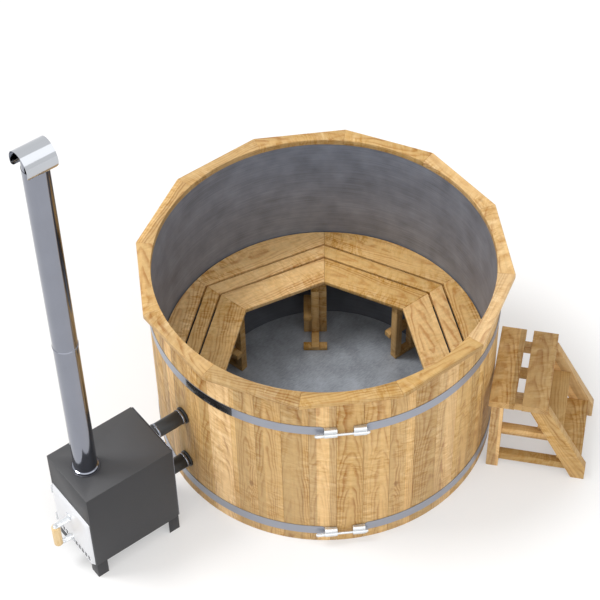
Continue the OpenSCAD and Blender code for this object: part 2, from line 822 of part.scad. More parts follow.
// Outline of the rain cap seen from the side, with its lower corners cut round in short steps
module cap_side() {
    x = cap_l / 2 - cap_corner_r;
    z = cap_corner_r - cap_edge;
    polygon(concat(
        [[-cap_l / 2, 2 * cap_r]],
        [for (a = [180 : corner_step : 270]) [-x + cap_corner_r * cos(a), z + cap_corner_r * sin(a)]],
        [for (a = [270 : corner_step : 360]) [x + cap_corner_r * cos(a), z + cap_corner_r * sin(a)]],
        [[cap_l / 2, 2 * cap_r]]));
}

module rain_cap() color("gainsboro") translate([chimney_axis_x, chimney_y, cap_z])
    intersection() {
        translate([-cap_l / 2, 0, 0]) rotate([90, 0, 90])
            arc_band(cap_r, cap_r - cap_t, cap_l, -cap_low, 180 + 2 * cap_low);
        rotate([90, 0, 0]) translate([0, 0, -2 * cap_r])
            linear_extrude(height = 4 * cap_r) cap_side();
    }

module hinge_leafs() {
    for (z = hinge_zs) for (end = [-1, 1])
        translate([hinge_x, hinge_y - knuckle_d / 2, z + end * knuckle_l - knuckle_l / 2])
            cube([stove_front - hinge_x, knuckle_d - fit, knuckle_l - fit]);
}

module knuckles(ends, bore) {
    for (z = hinge_zs) for (end = ends)
        translate([hinge_x, hinge_y, z + end * knuckle_l - knuckle_l / 2]) difference() {
            cylinder(h = knuckle_l - fit, r = knuckle_d / 2);
            translate([0, 0, -over]) cylinder(h = knuckle_l + 2 * over, r = bore / 2);
        }
}

module casing_knuckles() color("#2f2f31") difference() {
    union() {
        knuckles([-1, 1], hinge_pin_d + slip);
        hinge_leafs();
    }
    for (z = hinge_zs) translate([hinge_x, hinge_y, z - 2 * knuckle_l])
        cylinder(h = 4 * knuckle_l, r = (hinge_pin_d + slip) / 2);
}

module hinge_pins() color("silver") for (z = hinge_zs) {
    low = z - 1.5 * knuckle_l;
    translate([hinge_x, hinge_y, low])
        cylinder(h = 3 * knuckle_l, r = hinge_pin_d / 2);
    translate([hinge_x, hinge_y, low + 3 * knuckle_l - fit])
        cylinder(h = pin_head_h, r = pin_head_d / 2);
}

// An upright slab inside the door's outline, set in at the sides and top and at the bottom
module door_slab(inset, low_inset, x, l) {
    translate([x, -door_w / 2 + inset, door_z + low_inset])
        cube([l, door_w - 2 * inset, door_h - inset - low_inset]);
}

module door_slots() {
    for (row = [0, 1]) for (i = [0 : slot_count - 1])
        translate([door_face_x - over, (i - (slot_count - 1) / 2) * slot_pitch - slot_w / 2,
            slot_z + row * slot_row_pitch]) cube([door_t + 2 * over, slot_w, slot_h]);
}

module stove_door() color("gainsboro") difference() {
    hull() {
        door_slab(0, 0, door_back_x - door_t, door_t);
        door_slab(door_bevel, 0, door_face_x, door_t);
    }
    hull() {
        door_slab(door_t, door_t, door_back_x - door_t, door_t + over);
        door_slab(door_bevel + door_t, door_t, door_face_x + door_t, door_t);
    }
    door_slots();
}

module door_knuckles() color("#2f2f31") difference() {
    union() {
        knuckles([0], hinge_pin_d + 3 * slip);
        for (z = hinge_zs) translate([hinge_x, door_w / 2, z - knuckle_l / 2])
            cube([door_back_x - hinge_x, hinge_y - door_w / 2, knuckle_l - fit]);
    }
    for (z = hinge_zs) translate([hinge_x, hinge_y, z - knuckle_l])
        cylinder(h = 2 * knuckle_l, r = (hinge_pin_d + 3 * slip) / 2);
}

module handle_arms() color("silver") for (end = [-1, 1])
    translate([0, handle_y, handle_z + end * handle_pitch / 2]) difference() {
        union() {
            translate([grip_x, -arm_w / 2, -arm_t / 2])
                cube([door_face_x - grip_x, arm_w, arm_t]);
            translate([grip_x, 0, -arm_t / 2]) cylinder(h = arm_t, r = arm_w / 2);
            translate([door_face_x - arm_t, -arm_w / 2, min(0, end * arm_foot_h)])
                cube([arm_t, arm_w, arm_foot_h]);
        }
        translate([grip_x, 0, -arm_t]) cylinder(h = 2 * arm_t, r = spindle_d / 2 + slip);
    }

module handle_spindle() color("silver") {
    half = handle_pitch / 2 + arm_t / 2;
    translate([grip_x, handle_y, handle_z - half])
        cylinder(h = 2 * half, r = spindle_d / 2);
    for (z = [handle_z - half - spindle_head_h, handle_z + half])
        translate([grip_x, handle_y, z])
            cylinder(h = spindle_head_h, r = spindle_head_d / 2);
}

module handle_grip() color("wheat") {
    h = handle_pitch - arm_t - 2 * fit;
    translate([grip_x, handle_y, handle_z - h / 2])
        tube(grip_d / 2, spindle_d / 2 + slip, h);
}

// Places children on both side frames, with +Y pointing outwards
module both_frames() {
    for (side = [0, 1]) mirror([0, side, 0]) children();
}

// The housings that the frame rails sit in, cut from the inner side of the legs and strings
module rail_housings() {
    for (i = [0 : rail_count - 1]) translate([leg_u - over, frame_in - over, rail_z(i)])
        cube([rail_end(i) - leg_u + over, rail_housing + over, rail_h]);
}

// Height of the underside of a frame rail, counted from the ground up
function rail_z(i) = platform_z - (rail_count - 1 - i) * rise - tread_t - rail_h;

// Front of a string at a height
function string_front(z) = min(toe_u, toe_u - (z - toe_h) * string_slope);

// Front end of a frame rail
function rail_end(i) = string_front(rail_z(i) + rail_h) - rail_end_margin;

module step_legs() color("sandybrown") at_steps() both_frames() difference() {
    translate([leg_u, frame_in, 0]) cube([leg_w, frame_t, frame_top_z]);
    rail_housings();
}

module step_strings() color("sandybrown") at_steps() both_frames() difference() {
    translate([0, frame_out, 0]) rotate([90, 0, 0]) linear_extrude(height = frame_t) polygon([
        [toe_u - string_w * 2 / 3, 0],
        [toe_u, 0],
        [toe_u, toe_h],
        [string_top_u, frame_top_z],
        [string_top_u - string_w, frame_top_z]]);
    rail_housings();
}

module step_rails() color("peru") at_steps() both_frames() for (i = [0 : rail_count - 1])
    translate([leg_u, rail_in, rail_z(i)]) cube([rail_end(i) - leg_u, rail_t, rail_h]);

module step_platform() color("sandybrown") at_steps() for (i = [0, 1])
    translate([steps_in_u + i * (tread_w + platform_gap), -platform_l / 2, frame_top_z])
        cube([tread_w, platform_l, tread_t]);

module step_treads() color("sandybrown") at_steps() for (z = tread_zs)
    translate([string_front(z) - tread_back - tread_w, -frame_in + fit, z - tread_t])
        cube([tread_w, 2 * (frame_in - fit), tread_t]);

staves();
port_stave();
floor_boards();
rim_boards();
liner_wall();
liner_foot_ring();
liner_floor();
upper_hoop();
lower_hoop();
hoop_lugs();
tension_rods();
rod_nuts();
name_plate();
bench_inner_boards();
bench_middle_slats();
bench_outer_boards();
bench_battens();
bench_bearers();
bench_inner_posts();
bench_outer_posts();
bench_cross_rails();
bench_runners();
bench_foot_blocks();
bench_side_posts();
tub_port_pipes();
tub_port_rings();
tub_port_flanges();
water_hoses();
hose_clamps();
stove_stubs();
stove_casing();
stove_top_plate();
stove_feet();
water_tank();
tank_back_plate();
tank_front_frame();
firebox();
firebox_grate();
flue_spigot();
flue_collar();
lower_pipe();
upper_pipe();
cap_straps();
rain_cap();
casing_knuckles();
hinge_pins();
stove_door();
door_knuckles();
handle_arms();
handle_spindle();
handle_grip();
step_legs();
step_strings();
step_rails();
step_platform();
step_treads();
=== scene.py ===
"""Looks of a round wooden hot tub with a bench, a wood stove outside, a chimney and steps.

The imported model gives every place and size. Each operator here dresses one group of pieces.
"""

import json
import math
import random

import bmesh
import bpy
from bpy.props import FloatProperty, FloatVectorProperty, PointerProperty
from mathutils import Matrix, Vector


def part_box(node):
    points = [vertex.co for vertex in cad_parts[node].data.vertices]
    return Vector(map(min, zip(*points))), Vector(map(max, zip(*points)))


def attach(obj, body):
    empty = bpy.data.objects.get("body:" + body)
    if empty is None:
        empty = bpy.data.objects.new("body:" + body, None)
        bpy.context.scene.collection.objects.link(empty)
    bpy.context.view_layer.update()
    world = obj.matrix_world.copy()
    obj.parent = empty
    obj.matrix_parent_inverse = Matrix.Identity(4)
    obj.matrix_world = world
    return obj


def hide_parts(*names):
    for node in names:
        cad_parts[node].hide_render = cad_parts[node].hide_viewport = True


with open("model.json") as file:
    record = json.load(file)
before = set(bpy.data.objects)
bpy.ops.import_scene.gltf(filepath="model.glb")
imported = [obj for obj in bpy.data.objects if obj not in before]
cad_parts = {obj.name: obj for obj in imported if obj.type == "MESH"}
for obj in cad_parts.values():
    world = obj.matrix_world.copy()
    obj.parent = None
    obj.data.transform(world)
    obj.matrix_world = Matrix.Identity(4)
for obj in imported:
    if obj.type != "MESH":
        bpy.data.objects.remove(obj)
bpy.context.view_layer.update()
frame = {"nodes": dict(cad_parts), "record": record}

bl_info = {
    "name": "Wooden hot tub looks",
    "version": (1, 0, 0),
    "blender": (4, 5, 0),
    "location": "View3D > Sidebar > Hot tub",
    "description": "Dresses the hot tub, its stove and its steps with finishes and small parts",
    "category": "Object",
}

BODY_OF = {
    name: body
    for body, names in frame["record"]["behaviour"]["bodies"].items()
    for name in names
}

# Short names for the node types that come up most
MATH = "ShaderNodeMath"
VECTOR = "ShaderNodeVectorMath"
NOISE = "ShaderNodeTexNoise"
# Its inputs 0 to 4 are the value, then from low, from high, to low and to high
SPREAD = "ShaderNodeMapRange"
# A colour mix takes its two colours in inputs 6 and 7 and gives the mixed one as output 2
MIX = "ShaderNodeMix"
COLOUR_A, COLOUR_B, COLOUR_OUT = 6, 7, 2

# Each noise in the wood: repeats per metre along, across and through the board, then its
# detail and roughness
WOOD_NOISES = {
    # Slow bends of the growth lines, about 400 mm long
    "wander": ((2.6, 7.0, 7.0), 3.0, 0.5),
    # Streaks 600 mm long and 33 mm wide, in which the growth lines show or fade
    "streaks": ((1.7, 30.0, 30.0), 4.0, 0.55),
    # Cross figure: waves 28 mm long, with finer ones of 7 mm on them
    "waves": ((36.0, 9.0, 9.0), 3.0, 0.55),
    # Slow rises 77 mm long, whose contours become the cross lines
    "cross": ((13.0, 4.5, 4.5), 4.0, 0.55),
    # Stretches of 290 mm with more or less cross figure
    "where": ((3.5, 9.0, 9.0), 2.0, 0.5),
    # Fibres: real ones are too fine to show, so they are drawn 2 mm wide and 60 mm long
    "fibre": ((16.0, 520.0, 520.0), 3.0, 0.6),
    # Small blotches of 17 to 24 mm
    "spots": ((42.0, 60.0, 60.0), 3.0, 0.6),
}
# The figure that crosses the grain leans by about 15 degrees
LEANING = ("waves", "cross")
LEAN = 0.27
# Knots: one cell is about 310 mm long and 150 mm wide, and only some cells hold a knot
KNOT_CELLS = (3.2, 6.5, 1.5)
# In cells: how far a knot bends the growth lines, and where its brown heart fades and ends
KNOT_REACH = 0.42
HEART_RIM = (0.045, 0.085)
HEART_COLOUR = "80552C"
# In metres: how far the growth lines bend round a knot and wander
KNOT_BEND = 0.02
WANDER = 0.05
# The pith slants through the board by 5 in 100 and starts 45 mm below its middle
PITH_SLANT = 0.05
PITH_DEPTH = 0.045
# Share of the way across a growth ring, and how dark it is there: pale early wood ends in
# the dark line of late wood. Real rings are 2 to 4 mm apart, which is too fine to show, so the
# ring spacing is set coarser
RING_STOPS = ((0.0, 0.1), (0.4, 0.0), (0.8, 1.0), (0.93, 0.8), (1.0, 0.1))
# The height of the slow rises is cut into this many cross lines
CROSS_STEPS = 9.0
# Boards are glued up from strips about 55 mm wide
STRIPS_PER_METRE = 18.0
# Cross figure this dark and this bright gets the strongest and the weakest colour, and the
# reddest and the yellowest hue, where 0.5 is the hue of the hex colours
SHADE_DARK, SHADE_BRIGHT = 0.7, 1.15
SATURATION = (1.26, 0.93)
HUE = (0.491, 0.506)
# The darkest and the palest board, and the colour of each next to the middle one
TONE_VALUE = (0.74, 1.16)
TONE_SATURATION = (1.1, 0.92)
# Roughness goes this far to both sides of a finish's own value
ROUGH_SPREAD = 0.06
# No surface is smoother than this
SMOOTHEST = 0.03

# Boards differ from each other by this spread of tone, on a scale from 0 to 1
TONE_MIDDLE, TONE_SPREAD = 0.5, 0.19
# In metres: each board is cut from its own place along, across and through the log
CUT_ALONG = (0.0, 0.4, -0.4)
CUT_ACROSS = 0.03
CUT_THROUGH = 0.07
# A direction that no board lies along, and the number of turns that bring it to the widest face
ODD_WAY = (0.31, 0.57, 0.77)
TURNS = 24

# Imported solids: points this close, in metres, are one, and faces this flat, in degrees, too
WELD = 2e-6
FLAT = 0.6
# In degrees: edges sharper than this are rounded, and edges flatter than these look smooth.
# The chimney's beads and the curled cap need the lower one
ROUNDED_OVER = 30.0
SMOOTH_UNDER = 35.0
SMOOTH_UNDER_CHIMNEY = 14.0

# In metres on the stove door: height of the slot rows over its lower edge, and half their width
SLOTS_LOW, SLOTS_HIGH = 0.011, 0.040
SLOTS_REACH = 0.131
# A face whose normal has less of X than this is a wall of a slot, and no outside face
SLOT_WALL = 0.8

# How bright the floor's own glow is, where 1 is white, how much of it the floor takes, and
# half the floor's width in metres
FLOOR_GLOW = 1.0
FLOOR_SHARE = 0.36
FLOOR_HALF = 40.0
WHITE = (1.0, 1.0, 1.0, 1.0)
# The world's strength as a light, and as the white background
WORLD_LIGHT = 0.5
WORLD_SEEN = 1.0
# Name, place, angle across in degrees, and strength: one lamp throws the soft shadow, and a
# wide one fills the front
LAMPS = (
    ("Key light", (-3.8, 3.4, 8.4), 18.0, 1.55),
    ("Front light", (-3.4, -4.4, 7.0), 100.0, 1.45),
)
# The photograph's camera, solved from the rim, the tub's ellipses and the stove's edges: lens
# and sensor in millimetres, place and aim in metres, roll in radians, and how far it sees
LENS, SENSOR = 109.6, 36.0
CAMERA_SPOT = (-3.4211, -4.4377, 6.9218)
CAMERA_AIM = (-0.0887, 0.0657, 0.7568)
CAMERA_ROLL = -0.0236
CAMERA_REACH = 100.0


def linear(code):
    """Turns an sRGB hex colour into linear RGBA."""
    parts = [int(code[i : i + 2], 16) / 255 for i in (0, 2, 4)]
    return tuple(
        p / 12.92 if p <= 0.04045 else ((p + 0.055) / 1.055) ** 2.4 for p in parts
    ) + (1.0,)


class HotTubFinish(bpy.types.PropertyGroup):
    """Colours and sizes that a user may want to change."""

    stave_light: FloatVectorProperty(
        name="Stave wood, light",
        description="Early wood of the oiled spruce staves and rim",
        subtype="COLOR",
        size=4,
        min=0,
        max=1,
        default=linear("D4B17E"),
    )
    stave_dark: FloatVectorProperty(
        name="Stave wood, dark",
        description="Late wood lines of the oiled spruce staves and rim",
        subtype="COLOR",
        size=4,
        min=0,
        max=1,
        default=linear("A26C3A"),
    )
    bench_light: FloatVectorProperty(
        name="Bench wood, light",
        description="Early wood of the planed bench boards",
        subtype="COLOR",
        size=4,
        min=0,
        max=1,
        default=linear("E0B982"),
    )
    bench_dark: FloatVectorProperty(
        name="Bench wood, dark",
        description="Late wood lines of the planed bench boards",
        subtype="COLOR",
        size=4,
        min=0,
        max=1,
        default=linear("B4763F"),
    )
    liner: FloatVectorProperty(
        name="Liner steel",
        description="Dull stainless sheet that lines the tub",
        subtype="COLOR",
        size=4,
        min=0,
        max=1,
        default=linear("828997"),
    )
    paint: FloatVectorProperty(
        name="Stove paint",
        description="Heat resistant paint of the stove",
        subtype="COLOR",
        size=4,
        min=0,
        max=1,
        default=linear("28282B"),
    )
    ring_spacing: FloatProperty(
        name="Ring spacing",
        description="Distance between two growth rings of the wood",
        unit="LENGTH",
        min=0.001,
        max=0.03,
        default=0.009,
    )
    edge_round: FloatProperty(
        name="Rounded edge",
        description="Radius of the rounded edges of the boards",
        unit="LENGTH",
        min=0.0002,
        max=0.004,
        default=0.002,
    )


def add(tree, kind, links=None, stops=(), **settings):
    """Adds a node, sets its properties and colour stops, and links or fills its inputs."""
    made = tree.nodes.new(kind)
    for key, value in settings.items():
        setattr(made, key, value)
    for _ in stops[2:]:
        made.color_ramp.elements.new(1.0)
    for index, (at, level) in enumerate(stops):
        made.color_ramp.elements[index].position = at
        made.color_ramp.elements[index].color = (level, level, level, 1.0)
    for key, value in (links or {}).items():
        if isinstance(value, bpy.types.Node):
            value = value.outputs[0]
        if isinstance(value, bpy.types.NodeSocket):
            tree.links.new(value, made.inputs[key])
        else:
            made.inputs[key].default_value = value
    return made


def new_material(name):
    """A material with an empty tree, its shader and its output."""
    made = bpy.data.materials.new(name)
    made.use_nodes = True
    tree = made.node_tree
    tree.nodes.clear()
    shader = add(tree, "ShaderNodeBsdfPrincipled")
    out = add(tree, "ShaderNodeOutputMaterial", {"Surface": shader.outputs[0]})
    return made, tree, shader, out


def background_rays(tree):
    """1 for the camera's rays and those off metal or through glass, which see the background."""
    path = add(tree, "ShaderNodeLightPath")
    seeing = path.outputs["Is Camera Ray"]
    for ray in ("Is Glossy Ray", "Is Transmission Ray"):
        seeing = add(tree, MATH, {0: seeing, 1: path.outputs[ray]}, operation="MAXIMUM")
    return seeing


def softwood(
    name,
    light,
    dark,
    rings=1.0,
    rough=0.55,
    curl=0.7,
    lines=0.22,
    blotch=0.0,
    knots=0.22,
    strips=0.03,
):
    """Planed or sawn wood with growth lines, wavy cross figure, small knots and fine fibres.

    It reads the board's own frame from the attribute "grain", where X runs along the board,
    and its depth of colour from the attribute "tone". rings is a share of the ring spacing.
    """
    made, tree, shader, _ = new_material(name)
    spacing = bpy.context.scene.hot_tub.ring_spacing * rings
    grain = add(tree, "ShaderNodeAttribute", attribute_name="grain").outputs["Vector"]
    tone = add(tree, "ShaderNodeAttribute", attribute_name="tone").outputs["Fac"]
    split = add(tree, "ShaderNodeSeparateXYZ", {0: grain})
    across, through = split.outputs[1], split.outputs[2]
    lean = add(tree, MATH, {0: across, 1: LEAN, 2: split}, operation="MULTIPLY_ADD")
    leaning = add(tree, "ShaderNodeCombineXYZ", {0: lean, 1: across, 2: through})
    noises = {}
    for key, (scale, detail, coarse) in WOOD_NOISES.items():
        source = leaning if key in LEANING else grain
        sized = add(tree, VECTOR, {0: source, 1: scale}, operation="MULTIPLY")
        noises[key] = add(
            tree, NOISE, {"Vector": sized, "Scale": 1.0, "Detail": detail, "Roughness": coarse}
        )

    # A knot is the middle of a cell, and it pushes the growth lines aside
    cells = add(tree, VECTOR, {0: grain, 1: KNOT_CELLS}, operation="MULTIPLY")
    knot = add(tree, "ShaderNodeTexVoronoi", {"Vector": cells, "Scale": 1.0})
    distance = knot.outputs["Distance"]
    chance = add(tree, "ShaderNodeSeparateColor", {0: knot.outputs["Color"]})
    present = add(tree, MATH, {0: chance, 1: knots}, operation="LESS_THAN")
    near = add(tree, SPREAD, {0: distance, 1: 0.0, 2: KNOT_REACH, 3: 1.0, 4: 0.0})
    bulge = add(tree, MATH, {0: near, 1: present}, operation="MULTIPLY")

    # Growth lines: rings round a pith that slants slowly through the board and wanders
    slant = add(tree, MATH, {0: split, 1: PITH_SLANT, 2: PITH_DEPTH}, operation="MULTIPLY_ADD")
    depth = add(tree, MATH, {0: through, 1: slant}, operation="ADD")
    around = add(tree, "ShaderNodeCombineXYZ", {0: 0.0, 1: across, 2: depth})
    radius = add(tree, VECTOR, {0: around}, operation="LENGTH").outputs["Value"]
    wavy = add(
        tree, MATH, {0: noises["wander"], 1: WANDER, 2: radius}, operation="MULTIPLY_ADD"
    )
    bent = add(tree, MATH, {0: bulge, 1: KNOT_BEND, 2: wavy}, operation="MULTIPLY_ADD")
    count = add(tree, MATH, {0: bent, 1: 1 / spacing}, operation="MULTIPLY")
    phase = add(tree, MATH, {0: count}, operation="FRACT")
    ring = add(tree, "ShaderNodeValToRGB", {0: phase}, stops=RING_STOPS)
    fade = add(tree, SPREAD, {0: noises["streaks"], 1: 0.38, 2: 0.66, 3: 0.06, 4: 0.78})
    mark = add(tree, MATH, {0: ring, 1: fade}, operation="MULTIPLY")
    figure = add(tree, MIX, {0: mark, COLOUR_A: light, COLOUR_B: dark}, data_type="RGBA")

    # Wavy figure that crosses the grain, strong in some stretches and faint in others
    where = add(tree, SPREAD, {0: noises["where"], 1: 0.42, 2: 0.60, 3: 0.25, 4: 1.0})
    ripple = add(tree, MATH, {0: noises["waves"], 1: 0.5}, operation="SUBTRACT")
    ripple = add(tree, MATH, {0: ripple, 1: where}, operation="MULTIPLY")
    shade = add(tree, MATH, {0: ripple, 1: curl, 2: 1.0}, operation="MULTIPLY_ADD")
    # Cross lines, sharp on one side and soft on the other, in the same stretches
    steps = add(tree, MATH, {0: noises["cross"], 1: CROSS_STEPS}, operation="MULTIPLY")
    steps = add(tree, MATH, {0: steps}, operation="FRACT")
    steps = add(tree, SPREAD, {0: steps, 1: 0.0, 2: 0.6, 3: lines, 4: 0.0})
    steps = add(tree, MATH, {0: steps, 1: where}, operation="MULTIPLY")
    shade = add(tree, MATH, {0: shade, 1: steps}, operation="SUBTRACT")
    # Where the figure is dark, the wood is also stronger in colour and redder
    deep, redder = (
        add(tree, SPREAD, {0: shade, 1: SHADE_DARK, 2: SHADE_BRIGHT, 3: start, 4: end})
        for start, end in (SATURATION, HUE)
    )

    # Each glued strip of a board has a tone of its own
    strip = add(tree, MATH, {0: across, 1: STRIPS_PER_METRE}, operation="MULTIPLY")
    strip = add(tree, MATH, {0: strip}, operation="FLOOR")
    board = add(tree, MATH, {0: tone, 1: 40.0}, operation="MULTIPLY")
    board = add(tree, MATH, {0: board}, operation="FLOOR")
    strip = add(tree, "ShaderNodeCombineXYZ", {0: strip, 1: board})
    strip = add(tree, "ShaderNodeTexWhiteNoise", {0: strip}, noise_dimensions="3D")
    # Each board has its own depth of colour; strips, fibres, streaks and blotches vary it
    for source, low, high, start, end in (
        (tone, 0.0, 1.0, *TONE_VALUE),
        (strip, 0.0, 1.0, 1.0 - strips, 1.0 + strips),
        (noises["fibre"], 0.2, 0.8, 0.93, 1.06),
        (noises["streaks"], 0.2, 0.8, 1.12, 0.88),
        (noises["spots"], 0.3, 0.7, 1.0 - blotch, 1.0 + blotch),
    ):
        part = add(tree, SPREAD, {0: source, 1: low, 2: high, 3: start, 4: end})
        shade = add(tree, MATH, {0: shade, 1: part}, operation="MULTIPLY")
    warm = add(
        tree, SPREAD, {0: tone, 1: 0.0, 2: 1.0, 3: TONE_SATURATION[0], 4: TONE_SATURATION[1]}
    )
    warm = add(tree, MATH, {0: warm, 1: deep}, operation="MULTIPLY")
    colour = figure.outputs[COLOUR_OUT]
    toned = add(
        tree,
        "ShaderNodeHueSaturation",
        {"Hue": redder, "Saturation": warm, "Value": shade, "Color": colour},
    )
    # A knot has a brown heart
    heart = add(
        tree, SPREAD, {0: distance, 1: HEART_RIM[0], 2: HEART_RIM[1], 3: 0.6, 4: 0.0}
    )
    heart = add(tree, MATH, {0: heart, 1: present}, operation="MULTIPLY")
    knotted = add(
        tree,
        MIX,
        {0: heart, COLOUR_A: toned, COLOUR_B: linear(HEART_COLOUR)},
        data_type="RGBA",
    )
    tree.links.new(knotted.outputs[COLOUR_OUT], shader.inputs["Base Color"])

    # Late wood is harder and shines more, and it stands up a little with the fibres
    coarse = add(
        tree,
        SPREAD,
        {0: mark, 1: 0.0, 2: 0.6, 3: rough + ROUGH_SPREAD, 4: rough - ROUGH_SPREAD},
    )
    tree.links.new(coarse.outputs[0], shader.inputs["Roughness"])
    relief = add(tree, MATH, {0: noises["fibre"], 1: mark}, operation="ADD")
    bump = add(tree, "ShaderNodeBump", {"Height": relief, "Strength": 0.25, "Distance": 0.0006})
    tree.links.new(bump.outputs[0], shader.inputs["Normal"])
    shader.inputs["Specular IOR Level"].default_value = 0.35
    return made


def steel_or_coat(name, base, rough, metallic=1.0, marks=(1.0, 1.0, 1.0), mottle=0.0, bump=0.1):
    """Sheet, bar, paint or rubber with fine marks and cloudy patches.

    marks is the number of marks in a metre along X, Y and Z, so a small number next to a
    large one makes long streaks. mottle is how far the patches vary the brightness.
    """
    made, tree, shader, _ = new_material(name)
    spot = add(tree, "ShaderNodeTexCoord").outputs["Object"]
    sized = add(tree, VECTOR, {0: spot, 1: marks}, operation="MULTIPLY")
    scratch = add(
        tree, NOISE, {"Vector": sized, "Scale": 1.0, "Detail": 5.0, "Roughness": 0.65}
    )
    # Patches about 110 mm across
    patch = add(tree, NOISE, {"Vector": spot, "Scale": 9.0, "Detail": 3.0})
    both = add(tree, MATH, {0: patch, 1: scratch}, operation="ADD")
    level = add(tree, SPREAD, {0: both, 1: 0.7, 2: 1.3, 3: 1.0 - mottle, 4: 1.0 + mottle})
    colour = add(tree, "ShaderNodeHueSaturation", {"Value": level, "Color": base})
    tree.links.new(colour.outputs[0], shader.inputs["Base Color"])
    smooth = max(rough - ROUGH_SPREAD, SMOOTHEST)
    matt = add(tree, SPREAD, {0: scratch, 1: 0.25, 2: 0.75, 3: smooth, 4: rough + ROUGH_SPREAD})
    tree.links.new(matt.outputs[0], shader.inputs["Roughness"])
    shader.inputs["Metallic"].default_value = metallic
    relief = add(
        tree, "ShaderNodeBump", {"Height": scratch, "Strength": bump, "Distance": 0.0004}
    )
    tree.links.new(relief.outputs[0], shader.inputs["Normal"])
    return made


# A colour in these two tables is an sRGB hex colour, or the name of one of the user's colours
# Woods: light and dark colour, then the figure
WOODS = {
    # Planed smooth and oiled: warm honey colour, wavy figure and a satin light
    "Spruce, planed and oiled": (
        "stave_light",
        "stave_dark",
        {"curl": 0.62, "lines": 0.16, "blotch": 0.04, "strips": 0.18},
    ),
    # Planed and left bare under water: paler and duller, with water blotches
    "Spruce, planed": (
        "bench_light",
        "bench_dark",
        {"rough": 0.6, "curl": 0.55, "lines": 0.2, "blotch": 0.08},
    ),
    # Rough from the saw: dull and darker, with no shine at all
    "Spruce, sawn": ("C09A66", "8F6A3C", {"rough": 0.75}),
    # Turned and sanded: pale, close and even, nearly without figure
    "Birch, turned": (
        "FCE0B4",
        "ECC88F",
        {"rings": 0.6, "rough": 0.4, "curl": 0.1, "lines": 0.0, "knots": 0.0},
    ),
}
# Steels, paints, rubber and enamel: base colour, roughness, then the rest
COATS = {
    # Rolled sheet dulled by hot water: blue grey, with soft clouds and long level streaks
    "Stainless sheet, dull": (
        "liner",
        0.5,
        {"metallic": 0.3, "marks": (5.0, 5.0, 190.0), "mottle": 0.28},
    ),
    # The same sheet on the slope under the bench, coloured darker and flatter as painted shade
    # for the shade that falls under the bench
    "Stainless slope, painted shade": (
        "565A62",
        0.6,
        {"metallic": 0.2, "marks": (5.0, 5.0, 190.0), "mottle": 0.2},
    ),
    # The same sheet on the floor, scuffed by feet: paler, with broad clouds
    "Stainless floor, dull": (
        "9CA1A8",
        0.45,
        {"metallic": 0.3, "marks": (45.0, 150.0, 1.0), "mottle": 0.3},
    ),
    # Cold rolled band: even grey, with lines from the rolls along the hoop, drawn 2 mm apart
    # because the real ones are too fine to show
    "Stainless band, rolled": (
        "9A9EA9",
        0.34,
        {"metallic": 0.5, "marks": (8.0, 8.0, 500.0), "mottle": 0.05},
    ),
    # Zinc plated small parts: bright and milky, and the same all round
    "Steel, zinc plated": (
        "DADDE0",
        0.24,
        {"metallic": 0.65, "marks": (30.0, 30.0, 30.0), "mottle": 0.05, "bump": 0.03},
    ),
    # Bright annealed tube: mirrors the tub and the stove, with a faint pull along its length
    "Stainless tube, bright": (
        "8C8F99",
        0.12,
        {"marks": (30.0, 30.0, 6.0), "mottle": 0.04, "bump": 0.03},
    ),
    # Sheet next to the fire: browned nearly black, with cloudy heat marks
    "Stainless sheet, heat darkened": (
        "4C4C50",
        0.3,
        {"marks": (30.0, 30.0, 30.0), "mottle": 0.15, "bump": 0.03},
    ),
    # Polished and curled: a clear bright mirror, with faint marks 11 mm wide
    "Stainless cap, polished": (
        "BEC1C6",
        0.08,
        {"marks": (4.0, 90.0, 90.0), "mottle": 0.02, "bump": 0.02},
    ),
    # Sprayed and baked: matt near black, with an orange peel drawn at 4 mm so that it shows
    "Heat resistant paint, black": (
        "paint",
        0.5,
        {"metallic": 0.0, "marks": (260.0, 260.0, 260.0), "mottle": 0.06},
    ),
    # The same paint bleached by heat on the hot plate: dark grey
    "Heat resistant paint, grey": (
        "444446",
        0.5,
        {"metallic": 0.0, "marks": (260.0, 260.0, 260.0), "mottle": 0.05},
    ),
    # Blasted plate with a dull light face: pale grey, with faint upright strokes
    "Stainless plate, matt": (
        "DFE0E3",
        0.4,
        {"metallic": 0.35, "marks": (90.0, 400.0, 6.0), "mottle": 0.03},
    ),
    # Moulded rubber: black with a soft sheen, a little uneven
    "Rubber, black": (
        "1B1B1B",
        0.38,
        {"metallic": 0.0, "marks": (120.0, 120.0, 120.0), "mottle": 0.05},
    ),
    # Bare plate after many fires: dull brown grey scale in patches
    "Fire worn plate": (
        "4A4643",
        0.7,
        {"metallic": 0.4, "marks": (40.0, 40.0, 40.0), "mottle": 0.2},
    ),
    # Fired enamel: deep black and glossy, with hardly a mark
    "Enamel, black": (
        "131315",
        0.25,
        {"metallic": 0.0, "marks": (90.0, 90.0, 90.0), "mottle": 0.04},
    ),
}
MATERIALS = {}


def tint(colour):
    """The user's colour of that name, or a hex colour turned linear."""
    looks = bpy.context.scene.hot_tub
    return getattr(looks, colour) if hasattr(looks, colour) else linear(colour)


def finish(name):
    """The material of that name, made once."""
    if name not in MATERIALS:
        if name in WOODS:
            light, dark, figure = WOODS[name]
            MATERIALS[name] = softwood(name, tint(light), tint(dark), **figure)
        else:
            base, rough, rest = COATS[name]
            MATERIALS[name] = steel_or_coat(name, tint(base), rough, **rest)
    return MATERIALS[name]


def place(name, mesh, body, material, replaces=(), angle=SMOOTH_UNDER):
    """Puts a mesh in the scene as a piece that rides on a body."""
    made = bpy.data.objects.new(name, mesh)
    bpy.context.scene.collection.objects.link(made)
    mesh.materials.clear()
    mesh.materials.append(finish(material))
    mesh.shade_smooth()
    mesh.set_sharp_from_angle(angle=math.radians(angle))
    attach(made, body)
    if replaces:
        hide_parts(*replaces)
    return made


